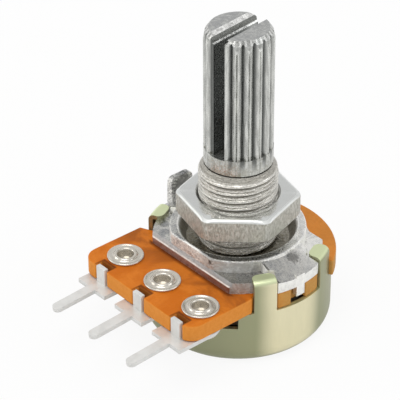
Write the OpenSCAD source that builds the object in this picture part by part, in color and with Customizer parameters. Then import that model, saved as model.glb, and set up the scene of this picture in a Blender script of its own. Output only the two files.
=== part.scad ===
// Rotary potentiometer with one gang, a threaded bushing and a split, knurled shaft.
// The origin is on the shaft's axis, at the top of the mounting ring.
// +Z runs up the shaft, and the terminals point to -Y.

/* [Body] */
// Depth of the body, from the mounting ring's top to the back of the can
body_depth = 9.3; // [8.9:0.1:12]
// Outer diameter of the can
can_d = 16.5; // [15.5:0.1:18]
// Thickness of the can's sheet
can_wall = 0.4; // [0.3:0.05:0.6]
// Outer radius of the can's back edge
can_edge_r = 1.55; // [0.7:0.05:2]
// Width of a folded tab
tab_w = 2; // [1.6:0.1:2.4]
// Angle of the four tabs from the X axis
tab_angle = 24.6; // [23:0.2:34]
// Length of a tab's fold, inward of the can's wall
tab_lap = 0.95; // [0.5:0.05:1.4]
// Corner radius of a tab's inner end
tab_corner_r = 0.6; // [0.2:0.1:0.7]
// Outer radius of a tab's bend
tab_bend_r = 0.55; // [0.5:0.05:0.7]
// Half angle of the gap in the can's rim where the terminals come out
lead_gap_angle = 49; // [46:1:52]
// Depth of that gap below the rim
lead_gap_depth = 1.5; // [1.3:0.1:1.6]

/* [Front plate] */
// Thickness of the plate
plate_t = 1.1; // [0.8:0.1:1.6]
// Space between the plate's rim and the inside of the tabs
plate_gap = 0.4; // [0.1:0.05:0.45]
// Distance of the plate's straight edge from the axis
plate_flat = 5.5; // [5.4:0.1:6.2]
// Outer diameter of the mounting ring
ring_d = 11.9; // [11.4:0.1:12.4]
// Height of the mounting ring above the plate
ring_h = 1.15; // [0.8:0.05:1.6]
// Width of the mounting ring's flat top
ring_land = 0.75; // [0.4:0.05:1]
// Distance of the ring's flat from the axis
ring_flat = 5.35; // [5:0.05:5.6]
// How far the hollow inside the ring narrows towards its floor
bowl_slope = 0.7; // [0.2:0.05:0.9]
// How far the ears and the board's sides stand back from the can's outside
ear_inset = 0.15; // [0.1:0.05:0.35]
// Width of an ear
ear_w = 4.6; // [3.6:0.1:5]
// Depth of an ear's top below the mounting ring, where it meets the ring
ear_step = 0.35; // [0.1:0.05:0.6]
// Depth of an ear's top below the mounting ring, at the rim
ear_drop = 1.35; // [0.7:0.05:1.6]
// Width of the locating nub under an ear
nub_w = 0.9; // [0.8:0.1:2]
// Thickness of the nub
nub_t = 0.5; // [0.3:0.05:0.6]
// Reach of the nub below the plate
nub_drop = 1; // [0.5:0.1:1.5]
// Distance of the peg's and the nubs' notches' middle from the X axis, towards the terminals
nub_shift = 0.2; // [0:0.1:0.5]
// How far a nub stands off the middle of its notch
nub_lean = 0.2; // [0:0.05:0.25]
// Space beside a nub that stands in the middle of its notch
nub_play = 0.35; // [0.3:0.05:0.5]

/* [Locating peg] */
// Width of the peg
peg_w = 2.4; // [1.5:0.1:2.8]
// Thickness of the peg at its foot
peg_t = 0.75; // [0.5:0.05:1]
// Thickness that the peg loses towards its tip
peg_draft = 0.2; // [0:0.05:0.3]
// Height of the peg above the mounting ring
peg_h = 1.5; // [0.8:0.1:3]
// Radius of the peg's upper corners
peg_corner_r = 0.5; // [0.2:0.1:0.7]
// Distance from the peg's outer side to the ear's rim
peg_inset = 0.03; // [0.01:0.01:0.3]

/* [Bushing and nut] */
// Diameter over the bushing's thread
bushing_d = 6.9; // [6.6:0.05:8]
// Length of the bushing above the mounting ring
bushing_len = 6.5; // [4.5:0.1:9]
// Width of the chamfer at the bushing's end
bushing_chamfer = 0.45; // [0.2:0.05:0.6]
// Height of that chamfer
bushing_chamfer_h = 0.7; // [0.3:0.05:1]
// Width of the nut across its flats
nut_af = 9.5; // [9.2:0.1:11]
// Thickness of the nut
nut_h = 2.25; // [1.6:0.05:3]
// Height of the nut's underside above the mounting ring
nut_lift = 1.1; // [0:0.1:2]
// Turn of the nut about the shaft
nut_turn = 16.5; // [0:0.5:60]
// Height that the chamfer takes from the nut's corners
nut_chamfer = 0.45; // [0.2:0.05:0.8]
// Width of the rolled edge between the nut's faces and its flats
nut_edge = 0.2; // [0.05:0.05:0.4]
// Height of that edge
nut_edge_h = 0.3; // [0.1:0.05:0.6]
// How far the nut's round faces stand back from its flats
nut_face_inset = 0.05; // [0.02:0.01:0.3]
// Radial clearance between the nut's bore and the thread's crests
nut_clearance = 0.02; // [0.01:0.01:0.1]

/* [Shaft] */
// Diameter over the knurl
shaft_d = 6; // [5.8:0.05:6.4]
// Length of the shaft above the mounting ring
shaft_len = 19.35; // [12:0.05:30]
// Number of teeth around the knurl
knurl_teeth = 18; // [12:1:24]
// Depth of the knurl's grooves
knurl_depth = 0.3; // [0.15:0.05:0.4]
// Width of a tooth's land, as a share of the teeth's spacing
knurl_land = 0.32; // [0.1:0.02:0.4]
// Turn of the knurl about the shaft
knurl_turn = -5; // [-10:0.5:10]
// Length of the smooth collar under the knurl
collar_h = 1.5; // [1:0.1:2.5]
// Width of the slot that splits the shaft
slot_w = 1.2; // [0.8:0.1:1.6]
// Height of the slot's floor above the bushing
slot_floor = 1.55; // [0.6:0.05:3]
// Turn of the slot from the Y axis, at the middle of the travel
slot_turn = 6.5; // [-20:0.5:20]
// Distance of the slot's middle from the axis
slot_shift = 0.25; // [-0.3:0.05:0.3]
// Chamfer along the slot's upper edges and at its mouths
slot_chamfer = 0.3; // [0.1:0.05:0.4]
// Width of the chamfer at the shaft's tip
tip_chamfer = 0.45; // [0.2:0.05:0.8]
// Height of that chamfer
tip_chamfer_h = 0.4; // [0.3:0.05:0.8]
// Width of the gentle slope below that chamfer
tip_crown = 0.15; // [0.05:0.05:0.15]
// Distance from the tip to the foot of that slope
tip_crown_h = 1.15; // [1:0.05:1.5]
// Diameter of the neck that runs in the bushing
neck_d = 4.8; // [4.2:0.1:5]
// Radial running clearance of the neck
neck_clearance = 0.05; // [0.02:0.01:0.1]
// Space between the collar and the end of the bushing
collar_gap = 0.1; // [0.05:0.05:0.3]
// Travel of the shaft from end to end, in degrees
turn_range = 300; // [270:5:305]

/* [Retaining clip] */
// Thickness of the clip
clip_t = 0.5; // [0.4:0.05:0.6]
// Diameter of the shaft's groove
groove_d = 3.8; // [3.4:0.1:4]
// Space around the clip
clip_gap = 0.05; // [0.03:0.01:0.1]
// Width of the clip's mouth, as it is pushed over the groove
clip_mouth = 3.2; // [2.4:0.1:3.4]

/* [Element board] */
// Thickness of the board
board_t = 1.6; // [1.2:0.1:2]
// How far the board's back half stands out past the can
board_overhang = 0.35; // [0:0.05:0.5]
// Distance of the tongue's left side from the middle of the left rivet
tongue_left_margin = 2.7; // [2.4:0.05:3]
// Distance of the tongue's right side from the middle of the right rivet
tongue_right_margin = 1.85; // [1.8:0.05:2.8]
// Distance of the tongue's front edge from the row of rivets
tongue_front = 2.74; // [2.4:0.02:2.84]
// Corner radius of the tongue
tongue_corner_r = 1.4; // [0.4:0.1:1.6]
// Width of a terminal's notch in the front edge
notch_w = 1.5; // [1.5:0.1:2.2]
// Depth of that notch
notch_depth = 0.5; // [0.3:0.05:0.6]
// Clearance around the tabs and nubs that pass through the board
board_clearance = 0.12; // [0.05:0.01:0.2]
// Radius of the board's middle hole, as a share of the radius inside the can
hole_share = 0.503; // [0.49:0.001:0.52]
// Space between the clip and the board's middle hole
hole_gap = 0.35; // [0.2:0.05:0.4]

/* [Printed tracks] */
// Thickness of the printed layers
print_t = 0.05; // [0.02:0.01:0.1]
// Distance of the resistive track's outer edge from the can's wall
track_rim_gap = 1.3; // [1.2:0.05:1.4]
// Distance of the collector ring's inner edge from the board's middle hole
collector_hole_gap = 0.35; // [0.3:0.05:0.4]
// Width of the resistive track, as a share of the width that both tracks take
track_share = 0.49; // [0.4:0.01:0.55]
// Width of the collector ring, as a share of the same width
collector_share = 0.31; // [0.25:0.01:0.33]
// Half angle of the resistive track's open end
track_gap_angle = 27; // [25:1:27]
// Angle that an end pad takes of the open end
pad_angle = 13; // [8:1:14]
// Width of the printed leads to the rivets
lead_w = 1.4; // [1:0.1:1.6]

/* [Terminals and rivets] */
// Spacing of the terminals
pitch = 5; // [4.8:0.1:5.1]
// Distance of the row of rivets from the outside of the can
rivet_offset = 0.31; // [0.15:0.02:0.75]
// Thickness of the terminals' sheet
terminal_t = 0.4; // [0.3:0.05:0.5]
// Width of a terminal's shoulders
shoulder_w = 3.6; // [3.3:0.1:3.8]
// Distance of the shoulders' and the pin's middle from the rivet's, towards -X
shoulder_shift = 0.12; // [0:0.02:0.2]
// How far the shoulders stand out in front of the board
shoulder_front = 1; // [0.7:0.1:1.7]
// Width of a terminal's pin
pin_w = 0.95; // [0.7:0.05:1.4]
// Length of a pin in front of its shoulders
pin_len = 4.1; // [2:0.1:7]
// Angle by which the pins point down
pin_droop = 3; // [0:0.5:6]
// Width of the tongue that stands in the board's notch
riser_w = 1.1; // [0.8:0.1:1.4]
// Height of that tongue
riser_h = 1.65; // [0.5:0.05:1.9]
// How far that tongue stands out in front of the board
riser_front = 0.05; // [0.05:0.05:0.2]
// Diameter of a rivet's flange
rivet_d = 3.25; // [3:0.05:3.4]
// Thickness of a rivet's flange
flange_t = 0.22; // [0.16:0.02:0.3]
// Outer diameter of a rivet's barrel
barrel_d = 2.04; // [1.9:0.02:2.2]
// Diameter of a rivet's hole
rivet_bore = 1.4; // [1:0.1:1.5]
// Height of the rolled lip above the flange
lip_h = 0.1; // [0.08:0.02:0.4]
// Radial clearance around a rivet's barrel
barrel_gap = 0.03; // [0.01:0.01:0.06]

/* [Rotor and wiper] */
// Space between the rivets' feet and the rotor
rotor_gap = 0.35; // [0.2:0.05:0.5]
// Space between the rotor's rim and the can's wall
rotor_rim_gap = 1.4; // [1.2:0.1:1.6]
// Thickness of the rotor's disc
rotor_t = 1.4; // [1:0.1:1.5]
// Diameter of the rotor's hub
hub_d = 6.2; // [5.6:0.1:6.8]
// Length of the hub below the disc
hub_h = 0.6; // [0.2:0.1:0.7]
// Depth of the pocket around the hub
pocket_depth = 0.7; // [0.3:0.1:0.9]
// Distance of the pocket from the hub and from the rim
pocket_margin = 0.8; // [0.5:0.1:1]
// Reach of the stop lug past the rotor's rim
lug_reach = 0.9; // [0.7:0.1:1]
// Width of the can's stop
stop_w = 2.4; // [1.6:0.1:2.8]
// Space between the rotor's rim and the can's stop
stop_gap = 0.35; // [0.2:0.05:0.4]
// Diameter of the shaft's flatted tail in the rotor
tail_d = 3.9; // [3.4:0.1:4]
// Width across the tail's flats
tail_flats = 2.8; // [2.2:0.1:3.2]
// Clearance between the tail and the rotor
tail_gap = 0.03; // [0.01:0.01:0.05]
// How far the tail's riveted end stands out around the tail
stake_lip = 0.15; // [0.1:0.05:0.3]
// Height of the tail's riveted end
stake_h = 0.35; // [0.2:0.05:0.4]
// Thickness of the wiper's sheet
wiper_t = 0.15; // [0.1:0.01:0.2]
// Distance of a wiper finger's sides from the edges of the collector ring
finger_margin = 0.05; // [0.02:0.01:0.1]
// Space between the wiper's noses and the tracks
contact_gap = 0.03; // [0.02:0.01:0.06]

/* [Hidden] */
$fn = 96;
// Overlap between solids that are joined into one piece
weld = 0.05;
// Reach of a cutting tool past what it cuts
past = 1;
// Larger than the whole part
far = 40;

// Heights, from the mounting ring's top downwards
plate_top = -ring_h;
plate_bottom = plate_top - plate_t;
board_bottom = plate_bottom - board_t;
print_bottom = board_bottom - print_t;
terminal_bottom = print_bottom - terminal_t;
foot_bottom = terminal_bottom - flange_t;
rotor_top = foot_bottom - rotor_gap;
rotor_bottom = rotor_top - rotor_t;
hub_bottom = rotor_bottom - hub_h;
can_back = -body_depth;
lead_gap_floor = board_bottom - lead_gap_depth;

// Radii
can_r = can_d / 2;
can_inner_r = can_r - can_wall;
ear_r = can_r - ear_inset;
plate_r = can_inner_r - plate_gap;
tab_end = can_inner_r - tab_lap;
ring_r = ring_d / 2;
bowl_r = ring_r - ring_land;
bushing_r = bushing_d / 2;
neck_r = neck_d / 2;
shaft_r = shaft_d / 2;
groove_r = groove_d / 2;
board_r = can_r + board_overhang;
board_hole_r = hole_share * can_inner_r;
clip_r = board_hole_r - hole_gap;
track_outer_r = can_inner_r - track_rim_gap;
collector_inner_r = board_hole_r + collector_hole_gap;
track_w = track_share * (track_outer_r - collector_inner_r);
track_r = track_outer_r - track_w / 2;
collector_w = collector_share * (track_outer_r - collector_inner_r);
collector_r = collector_inner_r + collector_w / 2;
finger_w = collector_w - 2 * finger_margin;
rivet_r = rivet_d / 2;
barrel_r = barrel_d / 2;
pad_r = shoulder_w / 2;
rotor_r = can_inner_r - rotor_rim_gap;
hub_r = hub_d / 2;
tail_r = tail_d / 2;

// Places along the terminals' side
rivet_y = can_r + rivet_offset;
tongue_reach = rivet_y + tongue_front;
shoulder_reach = tongue_reach + shoulder_front;
riser_reach = tongue_reach + riser_front;
tongue_left = pitch + tongue_left_margin;
tongue_right = pitch + tongue_right_margin;

// How far the knurl's teeth stand back from the collar
knurl_relief = 0.02;
// Height at which the collar of the shaft begins
collar_bottom = bushing_len + collar_gap;
// Inner radius of the can's stop, and the half angle that it takes
stop_r = rotor_r + stop_gap;
stop_angle = asin(stop_w / 2 / stop_r);
// Half angle of the rotor's lug, which meets the stop just past the travel
stop_margin = 0.7;
lug_angle = (360 - turn_range) / 2 - stop_angle - stop_margin;
// Angles of the wiper's base, past the noses at the middle of the travel
base_from = 22;
base_to = 78;

// Sector of a circle around the origin
module sector(r, from, to, steps = 8) {
    polygon(concat([[0, 0]], [for (i = [0:steps]) let (a = from + (to - from) * i / steps)
        [r * cos(a), r * sin(a)]]));
}

// Disc with a straight edge towards -Y
module flatted_disc(r, flat) {
    intersection() {
        circle(r);
        translate([-far / 2, -flat]) square(far);
    }
}

// Rectangle between two corners, with rounded corners
module rounded_rectangle(low, high, r) {
    size = high - low;
    translate(low + [r, 0]) square([size[0] - 2 * r, size[1]]);
    translate(low + [0, r]) square([size[0], size[1] - 2 * r]);
    for (x = [low[0] + r, high[0] - r]) for (y = [low[1] + r, high[1] - r])
        translate([x, y]) circle(r);
}

// Ring between two radii
module annulus(inner, outer) {
    difference() {
        circle(outer);
        circle(inner);
    }
}

// Level layer between two heights
module layer(bottom, top) {
    translate([0, 0, bottom]) linear_extrude(top - bottom) children();
}

// Places of the three terminals along X
function terminal_x(i) = (i - 1) * pitch;

// Threaded bushing, mounting ring, plate, ears, nubs and locating peg, cast in one
module front_plate() {
    color("silver") difference() {
        union() {
            layer(plate_bottom, plate_top) flatted_disc(plate_r, plate_flat);
            difference() {
                layer(plate_top - weld, 0) flatted_disc(ring_r, ring_flat);
                translate([0, 0, plate_top]) cylinder(h = ring_h + weld, r1 = bowl_r - bowl_slope,
                    r2 = bowl_r + bowl_slope * weld / ring_h);
            }
            bushing_barrel();
            for (side = [0, 1]) mirror([side, 0, 0]) ear();
            peg();
        }
        layer(plate_bottom - past, bushing_len + past) circle(neck_r + neck_clearance);
    }
}

module bushing_barrel() {
    end_z = bushing_len - bushing_chamfer_h;
    rotate_extrude() polygon([[0, plate_top - weld], [bushing_r, plate_top - weld], [bushing_r, end_z],
        [bushing_r - bushing_chamfer, bushing_len], [0, bushing_len]]);
}

// Sloping ear on the +X side, with the nub that locates the board
module ear() {
    inner_r = bowl_r + ring_land / 2;
    outer_r = ear_r + weld;
    slope = (ear_drop - ear_step) / (ear_r - ring_r);
    difference() {
        intersection() {
            layer(plate_bottom - nub_drop, 0) circle(ear_r);
            union() {
                translate([0, ear_w / 2, 0]) rotate([90, 0, 0]) linear_extrude(ear_w)
                    polygon([[inner_r, plate_bottom], [outer_r, plate_bottom],
                        [outer_r, -ear_step - slope * (outer_r - ring_r)],
                        [inner_r, -ear_step - slope * (inner_r - ring_r)]]);
                translate([ear_r - nub_t, nub_lean - nub_shift - nub_w / 2, plate_bottom - nub_drop])
                    cube([nub_t + past, nub_w, nub_drop + plate_t]);
            }
        }
        for (side = [-1, 1]) rotate(side * tab_angle) {
            layer(plate_top, past) tab_opening(tab_end - board_clearance);
            layer(plate_bottom - past, past) tab_opening(can_inner_r - board_clearance);
        }
    }
}

// Opening around a folded tab, outward of a radius
module tab_opening(r) {
    half = tab_w / 2 + board_clearance;
    translate([r, -half]) square([far, 2 * half]);
}

// Locating peg on the -X ear
module peg() {
    outer = peg_inset - sqrt(pow(ear_r, 2) - pow(peg_w / 2 + nub_shift, 2));
    foot = plate_top;
    translate([0, -nub_shift, 0]) intersection() {
        translate([0, peg_w / 2, 0]) rotate([90, 0, 0]) linear_extrude(peg_w)
            polygon([[outer, foot], [outer + peg_t, foot], [outer + peg_t - peg_draft / 2, peg_h],
                [outer + peg_draft / 2, peg_h]]);
        rotate([90, 0, 90]) linear_extrude(far, center = true) union() {
            translate([-peg_w / 2, foot]) square([peg_w, peg_h - foot - peg_corner_r]);
            translate([-peg_w / 2 + peg_corner_r, foot]) square([peg_w - 2 * peg_corner_r, peg_h - foot]);
            for (side = [-1, 1]) translate([side * (peg_w / 2 - peg_corner_r), peg_h - peg_corner_r])
                circle(peg_corner_r);
        }
    }
}

// Outline of the knurl: pointed teeth with narrow lands
function knurl_points() = [for (i = [0:knurl_teeth - 1]) for (k = [-1, 1, 2])
    let (step = 360 / knurl_teeth, r = k == 2 ? shaft_r - knurl_depth : shaft_r - knurl_relief,
        a = (i + (k == 2 ? 1 : k * knurl_land) / 2) * step + knurl_turn)
    [r * cos(a), r * sin(a)]];

module shaft() {
    groove_top = plate_bottom - clip_gap;
    groove_bottom = groove_top - clip_t - 2 * clip_gap;
    color("lightgray") difference() {
        union() {
            intersection() {
                layer(collar_bottom + collar_h - weld, shaft_len) polygon(knurl_points());
                shaft_envelope();
            }
            layer(collar_bottom, collar_bottom + collar_h) circle(shaft_r);
            layer(groove_top - weld, collar_bottom + weld) circle(neck_r);
            layer(groove_bottom - weld, groove_top) circle(groove_r);
            layer(rotor_top, groove_bottom) circle(neck_r);
            layer(hub_bottom, rotor_top + weld) tail_outline(0);
            layer(hub_bottom - stake_h, hub_bottom) circle(tail_r + stake_lip);
        }
        rotate([0, 0, slot_turn]) translate([slot_shift, 0, 0]) {
            layer(bushing_len + slot_floor, shaft_len + past) slot_outline();
            translate([0, far / 2, shaft_len]) rotate([90, 0, 0]) linear_extrude(far)
                polygon([[-slot_w / 2 - slot_chamfer, past], [-slot_w / 2 - slot_chamfer, 0],
                    [-slot_w / 2, -slot_chamfer], [slot_w / 2, -slot_chamfer],
                    [slot_w / 2 + slot_chamfer, 0], [slot_w / 2 + slot_chamfer, past]]);
        }
    }
}

// Slot with a chamfered mouth at each end
module slot_outline() {
    mouth = slot_w / 2 + slot_chamfer + past;
    for (turn = [0, 180]) rotate(turn)
        polygon([[-slot_w / 2, -weld], [slot_w / 2, -weld], [slot_w / 2, shaft_r - slot_chamfer],
            [mouth, shaft_r + past], [-mouth, shaft_r + past], [-slot_w / 2, shaft_r - slot_chamfer]]);
}

// Cones that chamfer the shaft's tip, and clear the knurl below it
module shaft_envelope() {
    slope = (tip_chamfer - tip_crown) / tip_chamfer_h;
    crown_slope = tip_crown / (tip_crown_h - tip_chamfer_h);
    rotate_extrude() polygon([[0, collar_bottom],
        [shaft_r + crown_slope * (shaft_len - tip_crown_h - collar_bottom), collar_bottom],
        [shaft_r - tip_crown, shaft_len - tip_chamfer_h],
        [shaft_r - tip_chamfer - slope * weld, shaft_len + weld], [0, shaft_len + weld]]);
}

// Round tail with two flats, grown by a clearance
module tail_outline(gap) {
    intersection() {
        circle(tail_r + gap);
        square([tail_flats + 2 * gap, far], center = true);
    }
}

module hex_nut() {
    corner_r = nut_af / 2 / cos(30);
    color("gainsboro") translate([0, 0, nut_lift]) rotate([0, 0, nut_turn + 30]) difference() {
        intersection() {
            intersection_for(turn = [30, 90, 150]) rotate(turn) nut_flats();
            union() {
                cylinder(h = nut_chamfer, r1 = nut_af / 2 - nut_face_inset, r2 = corner_r + weld);
                translate([0, 0, nut_chamfer])
                    cylinder(h = nut_h - 2 * nut_chamfer, r = corner_r + weld);
                translate([0, 0, nut_h - nut_chamfer])
                    cylinder(h = nut_chamfer, r1 = corner_r + weld, r2 = nut_af / 2 - nut_face_inset);
            }
        }
        translate([0, 0, -past]) cylinder(h = nut_h + 2 * past, r = bushing_r + nut_clearance);
    }
}

// Two opposite flats of the nut, with their rolled edges
module nut_flats() {
    flat = nut_af / 2;
    face = flat - nut_edge;
    rotate([90, 0, 0]) linear_extrude(far, center = true)
        polygon([[-face, 0], [face, 0], [flat, nut_edge_h], [flat, nut_h - nut_edge_h],
            [face, nut_h], [-face, nut_h], [-flat, nut_h - nut_edge_h], [-flat, nut_edge_h]]);
}

// Snap ring in the shaft's groove, open on one side
module retaining_clip() {
    top = plate_bottom - 2 * clip_gap;
    color("dimgray") layer(top - clip_t, top) difference() {
        annulus(groove_r + clip_gap, clip_r);
        translate([0, -clip_mouth / 2]) square([far, clip_mouth]);
    }
}

module board_outline() {
    difference() {
        union() {
            circle(ear_r);
            intersection() {
                circle(board_r);
                sector(far, tab_angle, 180 - tab_angle);
            }
            rounded_rectangle([-tongue_left, -tongue_reach], [tongue_right, 0], tongue_corner_r);
        }
        for (a = [tab_angle, 180 - tab_angle, 180 + tab_angle, -tab_angle]) rotate(a)
            tab_opening(can_inner_r - board_clearance);
        for (side = [-1, 1]) translate([side * (ear_r - nub_t / 2), -nub_shift])
            square([nub_t + 2 * board_clearance, nub_w + 2 * nub_play], center = true);
        for (i = [0:2]) {
            translate([terminal_x(i) - notch_w / 2, -tongue_reach - past])
                square([notch_w, notch_depth + past]);
            translate([terminal_x(i), -rivet_y]) circle(barrel_r + barrel_gap);
        }
        circle(board_hole_r);
    }
}

module element_board() {
    color([0.8, 0.45, 0.15]) layer(board_bottom, plate_bottom) board_outline();
}

// Horseshoe of resistive ink under the board
module resistive_track() {
    color([0.15, 0.15, 0.16]) layer(print_bottom, board_bottom) intersection() {
        annulus(track_r - track_w / 2, track_r + track_w / 2);
        sector(far, track_gap_angle - 90, 270 - track_gap_angle, 12);
    }
}

// Inner ring of conductive ink, with its lead to the centre rivet
module collector_ring() {
    color([0.75, 0.75, 0.72]) layer(print_bottom, board_bottom) difference() {
        union() {
            circle(collector_r + collector_w / 2);
            translate([-lead_w / 2, -rivet_y]) square([lead_w, rivet_y]);
            translate([0, -rivet_y]) circle(pad_r);
        }
        circle(collector_r - collector_w / 2);
        translate([0, -rivet_y]) circle(barrel_r + barrel_gap);
    }
}

// Conductive pad between the right end of the track and its rivet
module end_pad() {
    middle = track_gap_angle - pad_angle / 2 - 90;
    start = track_r * [cos(middle), sin(middle)];
    run = [pitch, -rivet_y] - start;
    color([0.75, 0.75, 0.72]) layer(print_bottom, board_bottom) difference() {
        union() {
            intersection() {
                annulus(track_r - track_w / 2, track_r + track_w / 2);
                sector(far, track_gap_angle - pad_angle - 90, track_gap_angle - 90);
            }
            difference() {
                translate(start) rotate(atan2(run[1], run[0])) translate([0, -lead_w / 2])
                    square([norm(run), lead_w]);
                circle(track_r);
            }
            translate([pitch, -rivet_y]) circle(pad_r);
        }
        translate([pitch, -rivet_y]) circle(barrel_r + barrel_gap);
    }
}

// Flat lug with shoulders, a pin and a tongue that stands in the board's notch
module terminal(i) {
    color("whitesmoke") translate([terminal_x(i), 0, 0]) {
        layer(terminal_bottom, print_bottom) difference() {
            union() {
                translate([-shoulder_shift, -rivet_y]) circle(pad_r);
                translate([-shoulder_shift - shoulder_w / 2, -shoulder_reach])
                    square([shoulder_w, shoulder_reach - rivet_y]);
            }
            translate([0, -rivet_y]) circle(barrel_r + barrel_gap);
        }
        translate([-riser_w / 2, -riser_reach, print_bottom - weld])
            cube([riser_w, terminal_t, riser_h + weld]);
        translate([-shoulder_shift, -shoulder_reach, print_bottom]) rotate([pin_droop, 0, 0])
            translate([0, 0, -terminal_t]) linear_extrude(terminal_t) {
                translate([-pin_w / 2, -pin_len + pin_w / 2])
                    square([pin_w, pin_len - pin_w / 2 + terminal_t]);
                translate([0, -pin_len + pin_w / 2]) circle(pin_w / 2);
            }
    }
}

// Tubular rivet that clamps a terminal to the board
module rivet(i) {
    lip_r = (barrel_r - rivet_bore / 2) / 2;
    lip_mid = rivet_bore / 2 + lip_r;
    color("gainsboro") translate([terminal_x(i), -rivet_y, 0]) difference() {
        union() {
            layer(foot_bottom, plate_bottom + flange_t + lip_h - lip_r) circle(barrel_r);
            layer(foot_bottom, terminal_bottom) circle(rivet_r);
            layer(plate_bottom, plate_bottom + flange_t) circle(rivet_r - flange_t / 2);
            translate([0, 0, plate_bottom + flange_t / 2]) rotate_extrude()
                translate([rivet_r - flange_t / 2, 0]) circle(flange_t / 2);
            translate([0, 0, plate_bottom + flange_t + lip_h - lip_r]) rotate_extrude()
                translate([lip_mid, 0]) circle(lip_r);
        }
        layer(foot_bottom - past, plate_bottom + flange_t + past) circle(rivet_bore / 2);
    }
}

// Moulded disc on the shaft's tail, with the lug that meets the can's stop
module rotor() {
    color([0.92, 0.91, 0.87]) difference() {
        union() {
            layer(rotor_bottom, rotor_top) {
                circle(rotor_r);
                intersection() {
                    circle(rotor_r + lug_reach);
                    sector(far, 90 - lug_angle, 90 + lug_angle);
                }
            }
            layer(hub_bottom, rotor_bottom + weld) circle(hub_r);
        }
        layer(rotor_bottom - past, rotor_bottom + pocket_depth)
            annulus(hub_r + pocket_margin, rotor_r - pocket_margin);
        layer(hub_bottom - past, rotor_top + past) tail_outline(tail_gap);
    }
}

// Spring sheet on the rotor, with one finger for each track
module wiper_contact() {
    color([0.8, 0.6, 0.3]) {
        layer(rotor_top, rotor_top + wiper_t) intersection() {
            annulus(collector_r - collector_w, rotor_r - stop_gap);
            sector(far, 90 + base_from, 90 + base_to);
        }
        for (r = [collector_r, track_r]) finger(r);
    }
}

// Finger along a chord, from the wiper's base up to a rounded nose under its track
module finger(r) {
    run = 2 * r * sin(base_from / 2);
    rise = print_bottom - contact_gap - rotor_top - wiper_t;
    root = 0.3;
    rotate([0, 0, base_from]) translate([0, r, rotor_top]) rotate([0, 0, -base_from / 2])
        rotate([90, 0, 0]) linear_extrude(finger_w, center = true) {
            polygon([[-root, 0], [0, 0], [run, rise], [run, rise + wiper_t / 2],
                [run - wiper_t, rise + wiper_t / 2], [-root / 4, wiper_t], [-root, wiper_t]]);
            translate([run, rise]) circle(wiper_t);
        }
}

// Half of a cup's section, of radius r with a rounded lower corner
module cup_section(r, floor_z, corner, top) {
    translate([0, floor_z]) square([r - corner, top - floor_z]);
    translate([0, floor_z + corner]) square([r, top - floor_z - corner]);
    translate([r - corner, floor_z + corner]) circle(corner);
}

// Drawn steel cup with four tabs folded over the front plate
module rear_can() {
    color([0.72, 0.74, 0.6]) {
        difference() {
            rotate_extrude() can_section();
            layer(board_bottom, past) difference() {
                circle(can_r + past);
                for (a = [tab_angle, 180 - tab_angle, 180 + tab_angle, -tab_angle]) rotate(a)
                    tab_outline();
            }
            layer(lead_gap_floor, board_bottom + weld)
                sector(far, -90 - lead_gap_angle, -90 + lead_gap_angle);
        }
        layer(lead_gap_floor - can_wall, lead_gap_floor) intersection() {
            annulus(stop_r, can_inner_r + can_wall / 2);
            translate([-stop_w / 2, -far]) square([stop_w, far]);
        }
    }
}

// Half of the can's section, with the wall carried up into the folded tabs
module can_section() {
    fold_top = plate_top + can_wall;
    wall_top = fold_top - tab_bend_r;
    intersection() {
        translate([0, can_back]) square([can_r, body_depth]);
        difference() {
            cup_section(can_r, can_back, can_edge_r, wall_top);
            cup_section(can_inner_r, can_back + can_wall, can_edge_r - can_wall, wall_top + past);
        }
    }
    translate([can_r - tab_bend_r, wall_top]) intersection() {
        annulus(tab_bend_r - can_wall, tab_bend_r);
        square(tab_bend_r);
    }
    translate([tab_end, plate_top]) square([can_r - tab_bend_r - tab_end, can_wall]);
}

// Outline of a tab on the +X side, from above, with rounded inner corners
module tab_outline() {
    rounded_rectangle([tab_end, -tab_w / 2], [can_r + past, tab_w / 2], tab_corner_r);
}

front_plate();
shaft();
hex_nut();
retaining_clip();
element_board();
resistive_track();
collector_ring();
mirror([1, 0, 0]) end_pad();  // end_pad_left
end_pad();  // end_pad_right
terminal(0);  // terminal_left
terminal(1);  // terminal_centre
terminal(2);  // terminal_right
rivet(0);  // rivet_left
rivet(1);  // rivet_centre
rivet(2);  // rivet_right
rotor();
wiper_contact();
rear_can();
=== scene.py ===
"""Looks of a rotary potentiometer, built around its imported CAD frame.

Lengths in the classes are in millimetres, and each mesh is brought to metres as its last step.
"""
import logging
import math
from dataclasses import dataclass, field
from enum import Enum
from typing import Callable, Dict, Iterable, List, Optional, Sequence, Tuple, Union

import bmesh
import bpy
from mathutils import Matrix, Vector


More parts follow.
